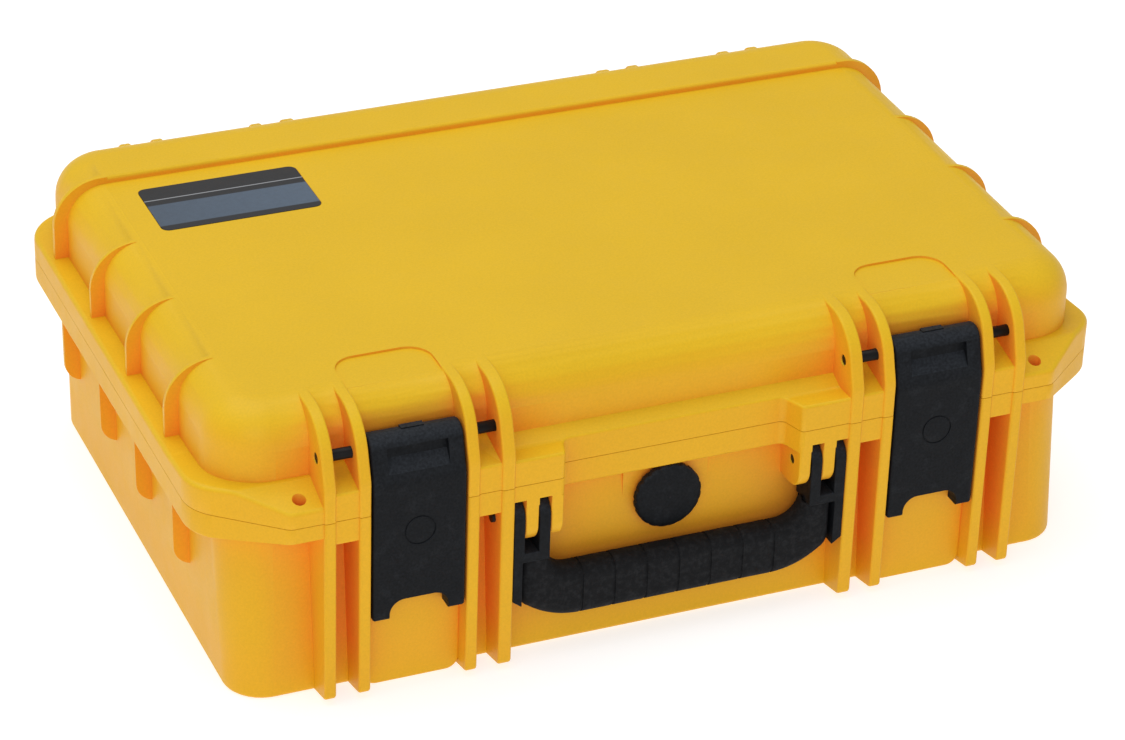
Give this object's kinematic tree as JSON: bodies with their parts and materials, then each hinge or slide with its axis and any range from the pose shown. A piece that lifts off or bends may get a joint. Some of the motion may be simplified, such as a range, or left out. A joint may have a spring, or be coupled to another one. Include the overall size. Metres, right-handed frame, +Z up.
{
  "type": "tool case with lift-out tray",
  "caption": "Hinged waterproof hard case for tools with a lift-out divided tray, over-centre latches, swing-down carrying handle and pressure valve.",
  "frame": {"origin": "on the face the closed case rests on, at mid length, midway between the front and rear ribs", "axes": "+Z up out of the resting face, +X along the length (right when facing the latches), +Y from the latches to the hinges"},
  "size_m": [0.475, 0.3275, 0.1562],
  "materials": {
    "shell_yellow": "fine moulded grain, satin",
    "latch_black": "fine moulded grain, satin",
    "handle_black": "satin",
    "grip_rubber": "matte, soft moulded",
    "valve_black": "satin",
    "seal_rubber": "matte",
    "pin_black": "blackened",
    "membrane_white": "matte",
    "label_dark": "satin printed film, left blank",
    "tray_black": "fine moulded grain"
  },
  "bodies": {
    "base": {"base_shell": "shell_yellow", "hinge_pin_left": "pin_black", "hinge_pin_right": "pin_black", "handle_pin_left": "pin_black", "handle_pin_right": "pin_black", "valve_body": "valve_black", "valve_o_ring": "seal_rubber", "valve_nut": "valve_black", "valve_membrane": "membrane_white"},
    "lid": {"lid_shell": "shell_yellow", "lid_gasket": "seal_rubber", "latch_pin_left": "pin_black", "latch_pin_right": "pin_black", "label_plate": "label_dark"},
    "latch_left": {"latch_left": "latch_black"},
    "latch_right": {"latch_right": "latch_black"},
    "handle": {"handle_frame": "handle_black", "handle_grip": "grip_rubber"},
    "valve_knob": {"valve_knob": "valve_black"},
    "tray": {"tray": "tray_black", "tray_grip_left": "tray_black", "tray_grip_right": "tray_black", "tray_divider_front_left": "tray_black", "tray_divider_front_right": "tray_black", "tray_divider_rear_left": "tray_black", "tray_divider_rear_right": "tray_black"}
  },
  "joints": [
    {"name": "lid_hinge", "type": "hinge", "parent": "base", "child": "lid", "pos_m": [0, 0.162, 0.1025], "axis": [-1, 0, 0], "range_deg": [0, 100]},
    {"name": "latch_left_hinge", "type": "hinge", "parent": "lid", "child": "latch_left", "pos_m": [-0.1351, -0.1477, 0.1318], "axis": [-1, 0, 0], "range_deg": [0, 120]},
    {"name": "latch_right_hinge", "type": "hinge", "parent": "lid", "child": "latch_right", "pos_m": [0.1351, -0.1477, 0.1318], "axis": [-1, 0, 0], "range_deg": [0, 120]},
    {"name": "handle_swing", "type": "hinge", "parent": "base", "child": "handle", "pos_m": [0, -0.15, 0.0824], "axis": [-1, 0, 0], "range_deg": [0, 90]},
    {"name": "valve_turn", "type": "hinge", "parent": "base", "child": "valve_knob", "pos_m": [0, -0.142, 0.07], "axis": [0, -1, 0], "range_deg": [0, 180]},
    {"name": "tray_lift", "type": "slide", "parent": "base", "child": "tray", "axis": [0, 0, 1], "range_m": [0, 0.04]}
  ]
}
